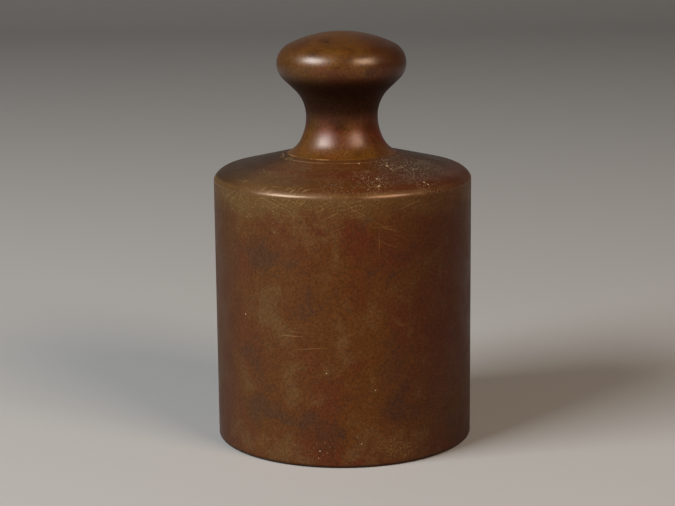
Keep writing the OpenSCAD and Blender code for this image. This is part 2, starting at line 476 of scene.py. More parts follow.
bodySet = {
    # sizes in mm, angles in degrees
    "bodyD": 51.0,
    "wallH": 51.6,
    "rimR": 2.6,
    "rimBends": ((1.3, 35.0), (4.0, 68.0), (1.0, 76.4)),  # radius, and how far up it faces at its end
    "topSlope": 13.6,
    "footR": 0.5,
    "recessD": 40.0,
    "recessH": 0.2,
    "recessBevel": 0.15,
    "recessRound": 0.08,
    "seatR": 11.1,
    "ringR": 12.4,          # fine turned line on the top
    "ringWide": 0.16,
    "ringDeep": 0.05,
    "ringLip": 0.01,
    "washerRecessR": 9.5,
    "washerRecessH": 0.8,
    "mouthBevel": 1.0,
    "boreR": 6.0,
    "boreFloor": 20.0,
    "boreRound": 0.3,
    "edgeRound": 0.06,
    "longRun": 2.0,         # longest step along the outline
    "boreRun": 3.0,
    "sharpAngle": 32,
    "segments": 192,
    # colours
    "reddish": linear(84, 38, 12),
    "golden": linear(86, 48, 12),
    "olive": linear(96, 66, 36),
    "purple": linear(60, 37, 27),
    "dark": linear(40, 19, 6),
    "rubbed": linear(92, 68, 34),
    "worn": linear(151, 122, 70),
    "rim": linear(110, 78, 41),
    "scratch": linear(182, 150, 96),
    "speck": linear(208, 188, 152),
    "footShadow": linear(24, 13, 6),
    # finish
    "metallic": 0.2,
    "wornMetallic": 0.6,
    "roughLow": 0.4,
    "roughHigh": 0.52,
    "rimSmooth": 0.08,
    "topSmooth": 0.06,
    "dustRough": 0.3,
    "specular": 0.18,
    "topSpecular": 0.5,
    "grainDeep": 0.005,
    "toolMarkDeep": 0.0022,
    "drawnOut": 0.02,       # tool marks are this much coarser round the axis than across it
    # noise: scale, detail, roughness, distortion
    "broadNoise": (58, 4, 0.6, 0.4),
    "cloudNoise": (150, 5, 0.6, 0.6),
    "toneNoise": (190, 6, 0.72, 0.6),
    "driftNoise": (170, 4, 0.6),
    "grainNoise": (2300, 3, 0.8),
    "wornNoise": (2600, 3, 0.8),
    "clumpNoise": (420, 3, 0.7),
    "wallToolMarks": (9000, 2, 0.6),
    "topToolMarks": (4500, 2, 0.6),
    "grainLight": (0.34, 0.66, 0.72, 1.28),
    # tints by a value: where each begins, where it is full, strength, colour
    "toneSpread": 4.2,
    "toneTints": [(0.0, 1.0, 0.85, "olive"), (-0.1, -1.0, 0.7, "purple")],
    # painted shade on the right and far left sides and a painted olive sheen on the left, by how far a point
    # faces right
    "sideShadeAndSheenTints": [(0.1, 0.97, 0.6, "dark"), (0.15, -0.52, 0.25, "olive"), (-0.72, -0.99, 0.45, "dark")],
    # tints of the top: radius of the beginning and of the full tint, way, how squarely it faces, strength
    "topTints": [
        (17.5, 22.0, "right", -0.15, -0.55, 0.35, "rubbed"),  # above the rim on the left
        (0.0, 1.0, "leftBack", 0.35, 0.95, 0.7, "dark"),
        (19.5, 23.5, "right", 0.1, 0.6, 0.6, "reddish"),      # where it rounds over on the right
    ],
    "leftBackWay": 250,
    "topTone": [("x", -3, -18, 0.5), ("x", 6, 20, -0.3)],
    "seatGolden": (12.7, 11.9, 0, 0.35),
    "rimHeights": (53.4, 52.8),
    # the worn band under the rim, the painted contact shadow round the foot and how far patches wander
    # way, in degrees from the front, where the worn band and crossing scratches are strongest: real wear,
    # made stronger there as a painted sheen of the left lamp
    "wornAndSheenWay": -26,
    "bandHeights": (51.2, 56.0),
    "bandUneven": 9.0,
    "crossHeights": (45.5, 50.5, 0, 0.75),
    "footShadowHeights": (0.9, 0.2, 0, 0.85),
    "drift": 6.0,
    "pitScale": 3000,
    # painted highlight on fine turned lines: the part of the round painted bright, in radians from the
    # front, and clouds that break it
    "highlightArc": (-1.5, -1.1, 0.1, 0.5),
    "highlightBreaks": (0.45, 0.51),
    "ringBright": (0.16, 0.04),
    # layers of hair scratches: strength, cell, width, share of cells with one, shift, spread, lean
    "wallHairs": [(0.22, 7, 0.045, 0.6), (0.16, 3.2, 0.04, 0.6, 0.05)],
    "crossHairs": [
        (1, 3.6, 0.05, 0.9, 0.02, 0.9, 0.55), (1, 3.6, 0.05, 0.9, 0.08, 0.9, -0.55),
        (1, 2.2, 0.04, 0.9, 0.13),
    ],
    "topHairs": [(0.34, 5, 0.05, 0.7, 0.11), (0.34, 2.4, 0.05, 0.8, 0.17)],
    "dustHairs": [(0.8, 1.5, 0.05, 0.8, 0.31)],
    "innerHairs": [(0.35, 4, 0.05, 0.6, 0.11)],
    # scratches: pixels of both ends, width in mm, strength
    "wallScratches": [
        (275, 334.4, 307, 337, 0.09, 0.56), (281, 330, 317, 334, 0.07, 0.22),
        (293, 349.6, 329, 347.6, 0.08, 0.43), (379, 228, 379.4, 257, 0.07, 0.37),
        (376, 226, 402, 232, 0.07, 0.46), (370, 228.5, 398, 225, 0.06, 0.34),
        (374, 239, 402, 250, 0.06, 0.31), (366, 217, 396, 233, 0.06, 0.31),
        (396, 211, 420, 200, 0.07, 0.43), (400, 206, 424, 199, 0.06, 0.34),
        (352, 226, 355, 238, 0.06, 0.25), (331, 233, 346, 226, 0.06, 0.28),
        (255, 193.5, 271, 203, 0.07, 0.5), (257, 195, 289, 211, 0.07, 0.46),
        (313, 215, 341, 198, 0.06, 0.31), (303, 245, 320, 243, 0.06, 0.22),
        (281, 227, 317, 228, 0.06, 0.26), (262, 193, 300, 213, 0.06, 0.4),
        (285, 197, 305, 210, 0.06, 0.35), (300, 213, 345, 197, 0.06, 0.35),
        (316, 209, 335, 198, 0.05, 0.35), (324, 210, 352, 203, 0.05, 0.3),
        (268, 214, 330, 217, 0.05, 0.22), (345, 221, 372, 213, 0.05, 0.25),
        (336, 205, 372, 199, 0.05, 0.3), (399, 205, 418, 197, 0.06, 0.3),
        (452, 188, 449, 195, 0.06, 0.35), (449, 189, 455, 194, 0.06, 0.3),
    ],
    "topScratches": [
        (282.5, 152.5, 284, 158, 0.18, 0.9), (284, 158, 288, 160.5, 0.16, 0.8),
        (289.5, 151.5, 295.5, 154.5, 0.2, 0.9), (295.5, 154.5, 292, 158, 0.16, 0.8),
        (283, 160, 296, 156, 0.16, 0.8), (286, 157, 295, 160, 0.16, 0.7),
        (279.5, 155.5, 283, 158.5, 0.14, 0.6), (260, 187, 268, 185.4, 0.14, 0.6),
        (265, 188, 274, 187.2, 0.13, 0.5), (271, 185.6, 279, 186.4, 0.13, 0.5),
        (284, 188.4, 291, 186.8, 0.15, 0.7), (289, 189.4, 297, 187.6, 0.16, 0.8),
        (297, 188.4, 304, 187.2, 0.14, 0.6), (301, 189.6, 310, 188.2, 0.15, 0.7),
        (241, 182.5, 249, 179.5, 0.16, 0.7), (243, 181, 250, 180, 0.14, 0.6),
        (263.5, 168, 264.5, 173.5, 0.14, 0.4), (237, 167, 240, 169, 0.12, 0.35),
        (298.5, 171.5, 303, 170.5, 0.15, 0.45), (268, 172, 270, 176, 0.12, 0.3),
        (384, 161, 390, 169, 0.16, 0.6), (374, 184, 381, 189, 0.14, 0.5),
        (374, 188.5, 381, 184.5, 0.14, 0.5), (424, 182, 430, 183.5, 0.14, 0.4),
    ],
    # specks: pixel, radius in mm
    "wallSpecks": [
        (245.7, 314, 0.16), (326.5, 373.5, 0.14), (375.6, 390.3, 0.14), (320, 451, 0.16),
        (318.6, 458.3, 0.11), (325, 443, 0.08), (330, 447, 0.07), (314, 448, 0.07),
        (327, 453, 0.08), (323, 455.5, 0.06), (335, 451, 0.06), (317, 444, 0.06),
        (331, 440, 0.06), (311, 454, 0.06), (357.4, 437.4, 0.07), (361.6, 444, 0.14),
        (247, 217, 0.1), (273, 223, 0.07), (274, 232, 0.08),
    ],
    "topSpecks": [
        (359, 163.5, 0.26), (387, 166, 0.34), (391, 169, 0.22), (377, 179, 0.28),
        (379, 186, 0.3), (424, 182, 0.24), (428, 183, 0.18), (450, 183, 0.22),
    ],
    # dusty patches on the top and speckled worn ones at the foot: pixel, reach in mm, strength
    "dustPatches": [
        (413, 163, 8.5, 0.5), (387, 165, 4.6, 0.4), (371, 180, 6.2, 0.45),
        (415, 177, 6.5, 0.36), (335, 188, 5.0, 0.14),
    ],
    "wornPatches": [
        (396, 442, 5.4, 0.9), (411, 448, 4.8, 0.7), (440, 440, 3.0, 0.4), (262, 442, 4.0, 0.35),
    ],
    # stains on the wall: pixel, half width and half height in mm, golden above 0 and purple below
    "stains": [
        (262, 447, 5.0, 2.6, 0.5), (292, 453, 4.0, 2.2, 0.5), (352, 448, 3.6, 4.4, 0.5),
        (374, 434, 3.0, 4.6, 0.4), (432, 444, 3.4, 3.0, 0.4), (306, 228, 6.0, 2.4, 0.4),
        (332, 238, 4.0, 3.0, 0.3), (268, 300, 3.6, 3.4, 0.48), (273, 316, 2.4, 4.2, 0.41),
        (262, 254, 5.0, 3.0, -0.9), (308, 309, 2.6, 2.6, -0.57), (230, 238, 1.8, 4.0, 0.28),
        (276, 329, 3.4, 2.6, 0.48), (292, 378, 2.0, 7.0, 0.41), (291, 405, 1.8, 3.2, 0.41),
        (248, 382, 1.8, 3.0, 0.41), (252, 352, 3.0, 5.0, -0.45), (262, 405, 5.0, 3.0, -0.9),
        (310, 424, 4.4, 2.4, -0.9), (336, 441, 3.0, 2.6, -0.78), (240, 430, 4.2, 3.4, 0.34),
        (384, 272, 2.6, 2.2, -0.68), (357, 362, 4.4, 6.4, 0.34), (422, 368, 2.2, 2.4, 0.28),
        (391, 371, 4.0, 4.0, -0.57), (399, 414, 5.4, 2.6, -0.78), (452, 410, 3.0, 3.4, -0.57),
    ],
}
bodyR = bodySet["bodyD"] / 2
topSlope = math.radians(bodySet["topSlope"])
rimEndR = bodyR - bodySet["rimR"] * (1 - math.sin(topSlope))
rimEndZ = bodySet["wallH"] + bodySet["rimR"] * math.cos(topSlope)
seatZ = rimEndZ + (rimEndR - bodySet["seatR"]) * math.tan(topSlope)
recessZ = seatZ - bodySet["washerRecessH"]
shankEnd = seatZ - screwSet["shankL"]
socketEnd = shankEnd - screwSet["socketSpare"]


def topHeight(radius):
    return seatZ - (radius - bodySet["seatR"]) * math.tan(topSlope)


# the rim: a tight bend at the wall, a slack one above it, and a last small one into the slope
def rimCurve():
    points = [(0, 0)]
    faced = 0
    for radius, upTo in bodySet["rimBends"]:
        turn = math.radians(upTo)
        x, z = points[-1]
        centre = (x - radius * math.cos(faced), z - radius * math.sin(faced))
        points += arc(centre, radius, faced, turn, 9)[1:]
        faced = turn
    x, z = points[-1]
    lift = topHeight(bodyR + x) - z
    return [(bodyR + x, lift + z) for x, z in points]


def bodyOutside():
    sizes = bodySet
    footCentre = (bodyR - sizes["footR"], sizes["footR"])
    ring = sizes["ringR"]
    half = sizes["ringWide"] / 2
    line = rounded([
        (0, sizes["recessH"]),
        (sizes["recessD"] / 2 - sizes["recessBevel"], sizes["recessH"]),
        (sizes["recessD"] / 2, 0),
        (footCentre[0], 0),
    ], sizes["recessRound"])
    line += arc(footCentre, sizes["footR"], -math.pi / 2, 0, 8)[1:]
    line += rimCurve()
    line += rounded([
        line[-1],
        (ring + 2 * half, topHeight(ring + 2 * half)),
        (ring + half, topHeight(ring + half) + sizes["ringLip"]),
        (ring, topHeight(ring) - sizes["ringDeep"]),
        (ring - half, topHeight(ring - half) + sizes["ringLip"]),
        (ring - 2 * half, topHeight(ring - 2 * half)),
        (sizes["seatR"], seatZ),
        (sizes["washerRecessR"], seatZ),
        (sizes["washerRecessR"], recessZ),
        (socketR + sizes["mouthBevel"], recessZ),
    ], sizes["edgeRound"])[1:]
    return spaced(line, sizes["longRun"])


def bodyInside():
    wide = bodySet["boreR"]
    low = bodySet["boreFloor"]
    line = [(socketR, socketEnd), (wide, socketEnd), (wide, low), (0, low)]
    return spaced(rounded(line, bodySet["boreRound"]), bodySet["boreRun"])


# the wall behind a pixel, unrolled: way round from the front, and height
def onWall(px, py):
    origin, way = pixelRay(px, py)
    square = way.x ** 2 + way.y ** 2
    half = origin.x * way.x + origin.y * way.y
    rest = origin.x ** 2 + origin.y ** 2 - (bodyR * mm) ** 2
    hit = origin + way * ((-half - math.sqrt(half * half - square * rest)) / square)
    return math.atan2(hit.x, -hit.y) * bodyR * mm, hit.z


# the sloping top behind a pixel, or where the ray comes closest to it
def onTop(px, py):
    origin, way = pixelRay(px, py)
    step = way * (0.05 * mm)
    hit = origin + way * (((seatZ + 1) * mm - origin.z) / way.z)
    above = hit.z - topHeight(math.hypot(hit.x, hit.y) / mm) * mm
    while above > 0:
        further = hit + step
        left = further.z - topHeight(math.hypot(further.x, further.y) / mm) * mm
        if left > above:
            break
        hit = further
        above = left
    return hit.x, hit.y


# mask of many short scratches that lie in all directions, one in a cell
def hairTree():
    labels = ("Strength", "Cell", "Width", "Share", "Spread", "Lean")
    sockets = [("Point", "Vector", None)] + [(label, "Float", None) for label in labels]
    graph, inputs, end = newTree("hairScratches", "ShaderNodeTree", sockets, "Mask", "Float")
    scaled = graph.vector("SCALE", inputs["Point"], scale=1 / inputs["Cell"])
    cells = graph.node("ShaderNodeTexVoronoi", {"Vector": scaled, "Scale": 1.0}, voronoi_dimensions="2D")
    red, green, blue = graph.separate(cells.outputs["Color"])
    away = graph.vector("SUBTRACT", scaled, cells.outputs["Position"])
    angle = (red - 0.5) * inputs["Spread"] + inputs["Lean"]
    aligned = graph.value("ShaderNodeVectorRotate", {"Vector": away, "Angle": angle}, rotation_type="Z_AXIS")
    x, y, z = graph.separate(aligned)
    y = y + (blue - 0.5) * 0.7 * (x * x)  # a slight bow
    width = inputs["Width"] / inputs["Cell"]
    near = 1 - graph.math("DIVIDE", graph.math("ABSOLUTE", y), width, clamp=True)
    fade = graph.ramp(graph.math("ABSOLUTE", x) / (0.2 + green * 0.3), 1.0, 0.6)
    present = graph.math("LESS_THAN", graph.math("FRACT", (red + blue) * 7.3), inputs["Share"])
    graph.fill(end, {"Mask": near * fade * present * (0.4 + green * 0.6) * inputs["Strength"]})
    return graph.tree


hairScratches = hairTree()


def hairs(graph, point, strength, cell, width, share, shift=0.0, spread=6.28, lean=0.0):
    made = graph.node("ShaderNodeGroup", {
        "Strength": strength, "Cell": cell * mm, "Width": width * mm, "Share": share,
        "Spread": spread, "Lean": lean,
    }, node_tree=hairScratches)
    # its point comes last: Cycles then works the group out after the other masks, and has room for it
    graph.fill(made, {"Point": graph.vector("ADD", point, (shift, shift * 0.37, 0))})
    return Value(graph, made.outputs[0])


def hairLayers(graph, point, layers):
    return graph.highest(hairs(graph, point, *layer) for layer in layers)


# how far a point is from an oval's middle, 1 at its edge
def ovalGap(graph, point, middle, halfWide, halfHigh, turn=0.0):
    oval = graph.value("ShaderNodeMapping", {
        "Vector": point,
        "Location": (middle[0], middle[1], 0),
        "Rotation": (0, 0, turn),
        "Scale": (halfWide, halfHigh, 1),
    }, vector_type="TEXTURE")
    return graph.vector("LENGTH", oval, output="Value")


def spotGap(graph, point, spot):
    return graph.vector("DISTANCE", point, Vector(spot).to_3d(), output="Value")


# the named scratches of one surface, each a long thin spindle between two pixels
def strokes(graph, point, marks, place):
    for x0, y0, x1, y1, width, strength in marks:
        start = Vector(place(x0, y0))
        run = Vector(place(x1, y1)) - start
        turn = math.atan2(run.y, run.x)
        gap = ovalGap(graph, point, start + run / 2, run.length / 2, width * mm, turn)
        yield graph.math("MULTIPLY_ADD", gap, -strength, strength, clamp=True)


def specks(graph, point, marks, place):
    solid = 1.6  # above 1, so that the middle of a speck is evenly bright
    for px, py, radius in marks:
        gap = spotGap(graph, point, place(px, py))
        yield graph.math("MULTIPLY_ADD", gap, -solid / (radius * mm), solid, clamp=True)


def softPatches(graph, point, marks, place):
    for px, py, reach, strength in marks:
        yield graph.level(spotGap(graph, point, place(px, py)), reach, 0.2 * reach, 0, strength)


# the named stains, above 0 where the metal is golden
def stains(graph, point, marks, place):
    soft = 1.9 * mm  # a stain fades out this many times its size away
    for px, py, halfWide, halfHigh, tone in marks:
        gap = ovalGap(graph, point, place(px, py), halfWide * soft, halfHigh * soft)
        yield graph.ramp(gap, 1.0, 0.1, 0, tone)


# soft steps across X or up Z added up
def stepTone(graph, places, marks):
    return sum(graph.level(places[axis], start, full, 0, gain) for axis, start, full, gain in marks)


# a point's coordinates, its way round from the front and its distance from the axis
def roundAxis(graph, point):
    x, y, z = graph.separate(point)
    return x, y, z, graph.math("ARCTAN2", x, y * -1), graph.math("SQRT", x * x + y * y)


# how squarely a point faces a way round from the front: 1 straight on, 0 at the side, -1 behind
def facing(graph, x, y, radius, way):
    turn = math.radians(way)
    return (x * math.sin(turn) + y * -math.cos(turn)) / radius


# tints a colour where a value goes past the limits of each tint
def tinted(graph, color, value, finish, tints):
    for start, full, strength, tint in tints:
        color = graph.mix(graph.ramp(value, start, full, 0, strength), color, finish[tint])
    return color


# painted highlight on a fine turned line of partly worn brass: bright on its front-left part, broken by
# small clouds
def highlightLine(graph, angle, middle, finish):
    start, startFull, endFull, end = finish["highlightArc"]
    bright = graph.ramp(angle, start, startFull, 0.1, 1) * graph.ramp(angle, end, endFull, 0.1, 1)
    return bright * graph.ramp(middle, *finish["highlightBreaks"], 0.1, 0.8)


# old brown patina in broad clouds, small clouds and fine grain; olive where the tone is above 0, purple
# below; painted shade darkens it round the right and far left sides, and a painted olive sheen lightens the
# left
def patina(graph, point, cloudPoint, side, placed):
    finish = bodySet
    middle = graph.noise(point, *finish["cloudNoise"])
    grain = graph.noise(point, *finish["grainNoise"])
    broad = graph.noise(cloudPoint, *finish["broadNoise"])
    color = graph.mix(graph.ramp(broad, 0.36, 0.62), finish["reddish"], finish["golden"])
    drift = graph.noise(graph.vector("ADD", cloudPoint, (0.9, 0.4, 0.2)), *finish["toneNoise"])
    tone = (drift - 0.5) * finish["toneSpread"] + placed
    color = tinted(graph, color, tone, finish, finish["toneTints"])
    color = tinted(graph, color, side, finish, finish["sideShadeAndSheenTints"])
    color = graph.brighten(color, graph.ramp(grain, *finish["grainLight"]))
    rough = graph.ramp(middle, 0.3, 0.7, finish["roughHigh"], finish["roughLow"])
    return color, rough, middle, grain


# what all of the body's brass ends with
def brassShader(graph, shader, color, rough, metal, specular, hair, dust, toolMarks, grain):
    finish = bodySet
    color = graph.mix(hair * 0.85, color, finish["scratch"])
    if dust is not None:
        color = graph.mix(dust * 0.85, color, finish["speck"])
        rough = graph.math("ADD", rough, dust * finish["dustRough"], clamp=True)
    graph.fill(shader, {
        "Base Color": color, "Roughness": rough, "Metallic": metal, "Specular IOR Level": specular,
        "Normal": graph.bump(grain * (finish["grainDeep"] * mm) + toolMarks * (finish["toolMarkDeep"] * mm)),
    })


def wallBrassMaterial():
    finish = bodySet
    material, graph, shader, point = newMaterial("wallBrass")
    x, y, z, angle, radius = roundAxis(graph, point)
    wall = graph.combine(angle * (bodyR * mm), z)
    half = finish["drift"] * mm / 2
    drift = graph.noise(point, *finish["driftNoise"], output="Color")
    drift = graph.vector("SUBTRACT", graph.vector("SCALE", drift, scale=2 * half), (half, half, 0))
    drifted = graph.vector("ADD", wall, drift)
    placed = sum(stains(graph, drifted, finish["stains"], onWall))
    side = facing(graph, x, y, radius, 90)
    color, rough, middle, grain = patina(graph, point, point, side, placed)

    # brass shows through in fine dots where it is rubbed: a band under the rim and patches at the foot
    # the band and the crossing scratches are strongest on the front-left: real wear, and a painted sheen
    # where the left lamp's light reflects
    front = graph.ramp(facing(graph, x, y, radius, finish["wornAndSheenWay"]), 0.6, 0.9, 0.25, 1.0)
    dots = graph.ramp(graph.noise(wall, *finish["wornNoise"]), 0.47, 0.62)
    bandEdge = middle * (finish["bandUneven"] * mm) + z
    band = graph.level(bandEdge, *finish["bandHeights"]) * (0.2 + front * 0.8)
    color = graph.mix(band * 0.6, color, finish["rubbed"])
    patches = sum(softPatches(graph, drifted, finish["wornPatches"], onWall))
    color = graph.mix(patches * 0.4, color, finish["olive"])
    worn = dots * graph.highest([band * 0.34, patches])
    color = graph.mix(worn, color, finish["worn"])
    metal = graph.ramp(worn, 0, 1, finish["metallic"], finish["wornMetallic"])
    # painted contact shadow: the wall darkens towards the floor
    color = graph.mix(graph.level(z, *finish["footShadowHeights"]), color, finish["footShadow"])

    crossed = graph.level(z, *finish["crossHeights"]) * front
    hair = graph.highest([
        hairLayers(graph, wall, finish["wallHairs"]),
        hairLayers(graph, wall, finish["crossHairs"]) * crossed,
        graph.highest(strokes(graph, wall, finish["wallScratches"], onWall)),
    ])
    dust = graph.highest(specks(graph, wall, finish["wallSpecks"], onWall))
    drawnOut = graph.vector("MULTIPLY", point, (finish["drawnOut"], finish["drawnOut"], 1))
    toolMarks = graph.noise(drawnOut, *finish["wallToolMarks"])
    brassShader(graph, shader, color, rough, metal, finish["specular"], hair, dust, toolMarks, grain)
    return material


def topBrassMaterial():
    finish = bodySet
    material, graph, shader, point = newMaterial("topBrass")
    x, y, z, angle, radius = roundAxis(graph, point)
    flat = graph.combine(x, y)
    # the clouds are drawn out round the axis
    swirl = graph.vector("SCALE", graph.vector("NORMALIZE", flat), scale=0.010)
    swirl = graph.vector("ADD", swirl, graph.combine(0.0, 0.0, radius * 2.6))
    side = facing(graph, x, y, radius, 90)
    placed = stepTone(graph, {"x": x}, finish["topTone"])
    color, rough, middle, grain = patina(graph, point, swirl, side, placed)

    # dust caught in fine pits, mostly on the right, and fine scratches there
    clumps = graph.ramp(graph.noise(point, *finish["clumpNoise"]), 0.36, 0.58, 0.3, 1.0)
    area = sum(softPatches(graph, flat, finish["dustPatches"], onTop)) * clumps
    pits = graph.node("ShaderNodeTexVoronoi", {"Vector": point, "Scale": finish["pitScale"]})
    chance = graph.separate(pits.outputs["Color"])[0]
    dots = graph.ramp(pits.outputs["Distance"], 0.6, 0.25) * graph.ramp(chance, 0.3, 0.95)
    dust = dots * (area * 0.86 + graph.ramp(middle, 0.45, 0.6, 0.02, 0.12))
    dust = graph.highest([dust, *specks(graph, flat, finish["topSpecks"], onTop)])
    # the fine turned line round the seat, with a painted highlight on part of its round
    ring = graph.math("ABSOLUTE", radius - finish["ringR"] * mm)
    hair = graph.highest([
        hairLayers(graph, flat, finish["topHairs"]),
        hairLayers(graph, flat, finish["dustHairs"]) * area,
        graph.highest(strokes(graph, flat, finish["topScratches"], onTop)),
        graph.level(ring, *finish["ringBright"]) * highlightLine(graph, angle, middle, finish),
    ])

    color = graph.mix(graph.level(radius, *finish["seatGolden"]), color, finish["golden"])
    ways = {"right": side, "leftBack": facing(graph, x, y, radius, finish["leftBackWay"])}
    for near, far, way, start, full, strength, tint in finish["topTints"]:
        mask = graph.level(radius, near, far) * graph.ramp(ways[way], start, full, 0, strength)
        color = graph.mix(mask, color, finish[tint])

    # the rim is rubbed smooth
    rim = graph.level(z, *finish["rimHeights"]) * graph.ramp(middle, 0.66, 0.45, 0.5, 1.0)
    # painted shade: the rim's paler colour and smoothness fade on the right side, which keeps a pale
    # reflection off the right of the rim
    rim = rim * graph.ramp(side, 0.5, 0.95, 1.0, 0.3)
    color = graph.mix(rim * 0.7, color, finish["rim"])
    rough = rim * -finish["rimSmooth"] + (rough - finish["topSmooth"])
    metal = graph.ramp(graph.highest([hair, rim * 0.3]), 0, 1, finish["metallic"], finish["wornMetallic"])
    drawnOut = graph.vector("ADD", graph.vector("SCALE", flat, scale=finish["drawnOut"]), swirl)
    toolMarks = graph.noise(drawnOut, *finish["topToolMarks"])
    brassShader(graph, shader, color, rough, metal, finish["topSpecular"], hair, dust, toolMarks, grain)
    return material


# the seat, the screw socket, the bore and the underside
def innerBrassMaterial():
    finish = bodySet
    material, graph, shader, point = newMaterial("innerBrass")
    x, y, z, angle, radius = roundAxis(graph, point)
    color, rough, middle, grain = patina(graph, point, point, 0.0, 0.0)
    hair = hairLayers(graph, graph.combine(x, y), finish["innerHairs"])
    toolMarks = graph.noise(graph.combine(radius, 0.0, z), *finish["wallToolMarks"])
    metal = finish["metallic"]
    brassShader(graph, shader, color, rough, metal, finish["specular"], hair, None, toolMarks, grain)
    return material


wallBrass = wallBrassMaterial()
topBrass = topBrassMaterial()
innerBrass = innerBrassMaterial()
print("body brass ready")


def buildBody():
    sizes = bodySet
    segments = sizes["segments"]
    section = threadSection(socketR, sizes["boreR"], screwSet["femaleCrest"])
    radii = (sizes["boreR"], socketR, socketR + sizes["mouthBevel"])
    made = welded("turnedBody", [
        turned("bodyOutside", bodyOutside(), segments, wallBrass),
        turned("bodyInside", bodyInside(), segments, wallBrass),
        thread("socketThread", section, socketEnd, recessZ, radii, -1.0, segments, wallBrass),
    ], wallBrass, sizes["sharpAngle"])
    made.data.materials.append(topBrass)
    made.data.materials.append(innerBrass)
    topStart = rimCurve()[0][1] * mm
    for polygon in made.data.polygons:
        place = polygon.center
        if math.hypot(place.x, place.y) < sizes["seatR"] * mm or place.z < sizes["footR"] * mm / 4:
            polygon.material_index = 2
        elif place.z > topStart:
            polygon.material_index = 1
    return made


declare(buildBody(), "weight", "body")


knobSet = {
    # sizes in mm, angles in degrees
    "baseD": 21.8,
    "baseEdgeH": 0.07,
    "waistD": 14.15,
    "waistRise": 7.277,    # from the seat up to the waist
    "flareR": 10.2,        # hollow below the waist, as far as flareTurn, in degrees
    "flareTurn": 28.0,
    "underR": 7.4,
    "headD": 25.5,
    "edgeR": 4.2,
    "headRise": 10.4,
    "crownRise": 6.2,
    "lipBevel": (0.2, 0.09),
    "lipRound": 0.04,
    "longRun": 2.0,
    "sharpAngle": 32,
    "segments": 192,
    # colours and finish
    "golden": linear(95, 58, 12),
    "reddish": linear(89, 36, 8),
    "dark": linear(56, 28, 9),
    "underHeadShade": linear(54, 34, 21),
    "pit": linear(18, 10, 6),
    "scratch": linear(176, 132, 78),
    "metallic": 0.1,
    "roughLow": 0.31,
    "roughHigh": 0.4,
    "specular": 0.56,
    "grainDeep": 0.003,
    "toolMarkDeep": 0.0012,
    "pitDeep": 0.1,
    "drawnOut": 0.02,
    # noise: scale, detail, roughness, distortion
    "goldenNoise": (130, 5, 0.65, 0.5),
    "cloudNoise": (230, 5, 0.6),
    "grainNoise": (2300, 3, 0.8),
    "toolMarks": (8000, 2, 0.6),
    "grainLight": (0.34, 0.66, 0.7, 1.3),
    # golden on the crown, the flare and the left, redder round the neck: axis, begins, full, gain
    "goldenShare": 0.42,
    "goldenSpread": 2.6,
    "goldenSteps": [
        ("z", 73.5, 76.5, 0.35), ("z", 60.5, 58.5, 0.2), ("x", -1, -9, 0.15), ("x", 3, 12, -0.15),
    ],
    # heights and radii where each begins and is full
    "headHeights": (69.5, 72.5),
    "headRadii": (3.0, 11.0),
    "crownShade": (76.2, 79.5, 0, 0.3),
    "hollowUpper": (74.5, 71.2),
    "hollowLower": (62.8, 67.2),
    "hollowUneven": 1.0,
    "neckLower": (60.7, 63.2),
    "neckUpper": (76.2, 73.5),
    "lipRadii": (10.65, 10.8),
    "lipHeights": (57.5, 57.3),
    # painted highlight along the base's edge: the bright part of its round and the clouds that break it
    "highlightArc": (-1.4, -1.1, 0.1, 0.3),
    "highlightBreaks": (0.46, 0.54),
    "sideHairs": [(0.3, 4, 0.035, 0.5)],
    "flatHairs": [(0.3, 3, 0.035, 0.5, 0.21)],
    "unrollR": 11.0,
    # marks by pixel: ends, width in mm, strength
    "pitSpot": (327.5, 42),
    "pitReach": (0.5, 0.15),
    "smearReach": (3.0, 0.4),
    "crownScratches": [
        (364, 33, 390, 40, 0.06, 0.5), (372, 32, 388, 37, 0.05, 0.4),
        (380, 35, 394, 44, 0.06, 0.5), (318, 37, 344, 34, 0.05, 0.3),
    ],
}
baseR = knobSet["baseD"] / 2
waistR = knobSet["waistD"] / 2
waistZ = seatZ + knobSet["waistRise"]
edgeCentre = (knobSet["headD"] / 2 - knobSet["edgeR"], waistZ + knobSet["headRise"])
crownTop = edgeCentre[1] + knobSet["crownRise"]
crownR = (edgeCentre[0] ** 2 + knobSet["crownRise"] ** 2 - knobSet["edgeR"] ** 2)
crownR = crownR / (2 * (knobSet["crownRise"] - knobSet["edgeR"]))
crownCentre = (0, crownTop - crownR)
print("seat at", round(seatZ, 3), "crown at", round(crownTop, 3))


# the shank's flat end, up to where its thread begins
def knobLower():
    return [(0, shankEnd), (rootR * 0.5, shankEnd), (rootR, shankEnd)]


